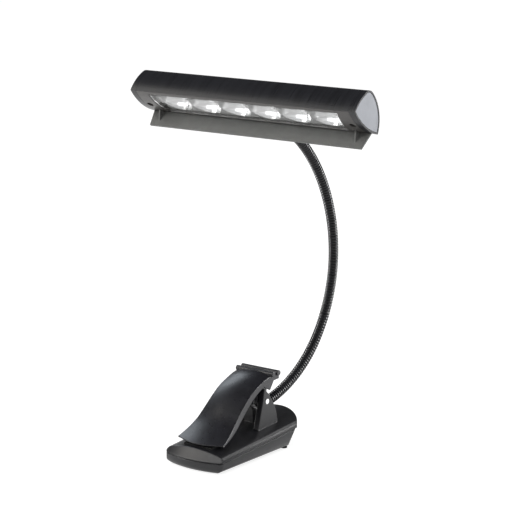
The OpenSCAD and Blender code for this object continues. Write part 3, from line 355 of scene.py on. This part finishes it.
def by_ray(tree, soft, glossy, through, eye):
    """Strength of a glow for soft light, in reflections, through glass and to the eye."""
    path = tree.nodes.new("ShaderNodeLightPath")
    strength = mix_number(tree, path.outputs["Is Glossy Ray"], soft, glossy)
    strength = mix_number(tree, path.outputs["Is Transmission Ray"], strength, through)
    return mix_number(tree, path.outputs["Is Camera Ray"], strength, eye)


def studio():
    """World that is white to the eye and through the window, and dark overhead in reflections."""
    world = bpy.data.worlds.new("studio")
    world.use_nodes = True
    sky = world.node_tree
    background = sky.nodes["Background"]
    background.inputs["Color"].default_value = (*WHITE, 1)
    way = sky.nodes.new("ShaderNodeTexCoord")
    parts = sky.nodes.new("ShaderNodeSeparateXYZ")
    join(sky, way.outputs["Generated"], parts.inputs["Vector"])
    overhead = map_range(sky, parts.outputs["Z"], SKY_HEIGHT, SKY_GLOW, "SMOOTHSTEP")
    strength = by_ray(sky, soft=0.6, glossy=overhead, through=1.1, eye=1.0)
    join(sky, strength, background.inputs["Strength"])
    return world


def white_floor():
    """Pale floor that takes the shadow, white to the eye, and dimmer in reflections close to the base as
    a painted shadow.
    """
    bpy.ops.mesh.primitive_plane_add(size=FLOOR_SIZE)
    floor = bpy.context.object
    floor.name = "floor"
    material, tree, shader = new_material("floor_white")
    paint(tree, shader, noise(tree, scale=3, detail=2), FLOOR_DARK, FLOOR_LIGHT)
    shader.inputs["Roughness"].default_value = FLOOR_ROUGHNESS
    shader.inputs["Specular IOR Level"].default_value = 0.0
    spot = tree.nodes.new("ShaderNodeNewGeometry")
    from_middle = tree.nodes.new("ShaderNodeVectorMath")
    from_middle.operation = "LENGTH"
    join(tree, spot.outputs["Position"], from_middle.inputs[0])
    # Glow in reflections that is dimmer close to the base: a painted shadow under it
    glow_with_painted_shadow = map_range(
        tree, from_middle.outputs["Value"], FLOOR_DISTANCE, FLOOR_GLOW, "SMOOTHSTEP"
    )
    glow = tree.nodes.new("ShaderNodeEmission")
    glow.inputs["Color"].default_value = (*WHITE, 1)
    strength = by_ray(tree, soft=0.0, glossy=glow_with_painted_shadow, through=0.15, eye=0.78)
    join(tree, strength, glow.inputs["Strength"])
    both = tree.nodes.new("ShaderNodeAddShader")
    join(tree, shader.outputs["BSDF"], both.inputs[0])
    join(tree, glow.outputs["Emission"], both.inputs[1])
    join(tree, both.outputs["Shader"], tree.nodes["Material Output"].inputs["Surface"])
    dress(floor, material)


scene.world = studio()
white_floor()
scene.view_settings.view_transform = "Standard"


# Gooseneck skin: one ribbed tube in stretches that bend from link to link, in millimetres and degrees

# Bends, link length, root and count of ribs are the CAD source's own
BENDS = [16, 17, 19, 17, 18, 16, 14, 15, 14, 12]
LINK_LENGTH = 30.0
NECK_ROOT = (22.8, 27.7, 2.0)
RIBS_PER_LINK = 14

# Section of the skin and how finely it is drawn
RIB_PITCH = LINK_LENGTH / RIBS_PER_LINK
RIB_CREST, RIB_VALLEY = 3.85, 3.0
RIB_FULLNESS = 0.45
SKIN_SIDES = 28
RINGS_PER_RIB = 10


def along_link(start, bend, turned):
    """Y, Z and heading after some of a link's bend, from those at its start."""
    y, z, heading = start
    radius = LINK_LENGTH / math.radians(bend)
    a, b = math.radians(heading), math.radians(heading + turned)
    rise = math.cos(a) - math.cos(b)
    return y + radius * (math.sin(b) - math.sin(a)), z + radius * rise, heading + turned


LINK_STARTS = [NECK_ROOT]
for bend in BENDS:
    LINK_STARTS.append(along_link(LINK_STARTS[-1], bend, bend))


def neck_at(length):
    """Y, Z and heading at a length along the neck."""
    k = min(int(length // LINK_LENGTH), len(BENDS) - 1)
    turned = BENDS[k] * (length - k * LINK_LENGTH) / LINK_LENGTH
    return along_link(LINK_STARTS[k], BENDS[k], turned)


def rib_radius(length):
    phase = (length / RIB_PITCH) % 1.0
    return RIB_VALLEY + (RIB_CREST - RIB_VALLEY) * math.sin(math.pi * phase) ** RIB_FULLNESS


def skin_ring(length):
    """Points round the neck at a length, in metres."""
    y, z, heading = neck_at(length)
    a = math.radians(heading)
    radius = rib_radius(length)
    ring = []
    for j in range(SKIN_SIDES):
        turn = 2 * math.pi * j / SKIN_SIDES
        side, up = radius * math.cos(turn), radius * math.sin(turn)
        ring.append((side * MM, (y - up * math.sin(a)) * MM, (z + up * math.cos(a)) * MM))
    return ring


def neck_skin(name, start, end):
    """Ribbed tube between two lengths along the neck."""
    rings = round((end - start) / RIB_PITCH * RINGS_PER_RIB)
    points, faces = [], []
    for i in range(rings + 1):
        points += skin_ring(start + (end - start) * i / rings)
    for i in range(rings):
        low, high = i * SKIN_SIDES, (i + 1) * SKIN_SIDES
        for j in range(SKIN_SIDES):
            k = (j + 1) % SKIN_SIDES
            faces.append((low + j, high + j, high + k, low + k))
    mesh = bpy.data.meshes.new(name)
    mesh.from_pydata(points, [], faces)
    for polygon in mesh.polygons:
        polygon.use_smooth = True
    mesh.validate()
    obj = bpy.data.objects.new(name, mesh)
    scene.collection.objects.link(obj)
    neck_lit.objects.link(obj)
    dress(obj, neck_black)
    return obj


# Each stretch goes from the middle of a link to that of the next, and the outer two reach the neck's ends
stretches = len(BENDS) - 1
for k in range(stretches):
    is_last = k == stretches - 1
    middle, next_middle = (k + 0.5) * LINK_LENGTH, (k + 1.5) * LINK_LENGTH
    start = 0.0 if k == 0 else middle
    end = len(BENDS) * LINK_LENGTH if is_last else next_middle
    skin = neck_skin("neck_skin_%02d" % (k + 1), start, end)
    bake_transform(skin)
    covered = ["neck_link_%02d" % (k + 1)]
    if is_last:
        covered.append("neck_link_%02d" % (k + 2))
    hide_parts(*covered)


# Smooth faces on the CAD nodes that show

SHARP_ANGLE = math.radians(32)
WELD_DISTANCE = 0.002 * MM


def smooth_faces(obj):
    """Smooth faces that stay crisp at edges sharper than the angle."""
    weld = obj.modifiers.new("weld", "WELD")
    weld.merge_threshold = WELD_DISTANCE
    for polygon in obj.data.polygons:
        polygon.use_smooth = True
    split = obj.modifiers.new("edges", "EDGE_SPLIT")
    split.use_edge_angle = True
    split.split_angle = SHARP_ANGLE


for obj in nodes.values():
    if not obj.hide_render:
        smooth_faces(obj)
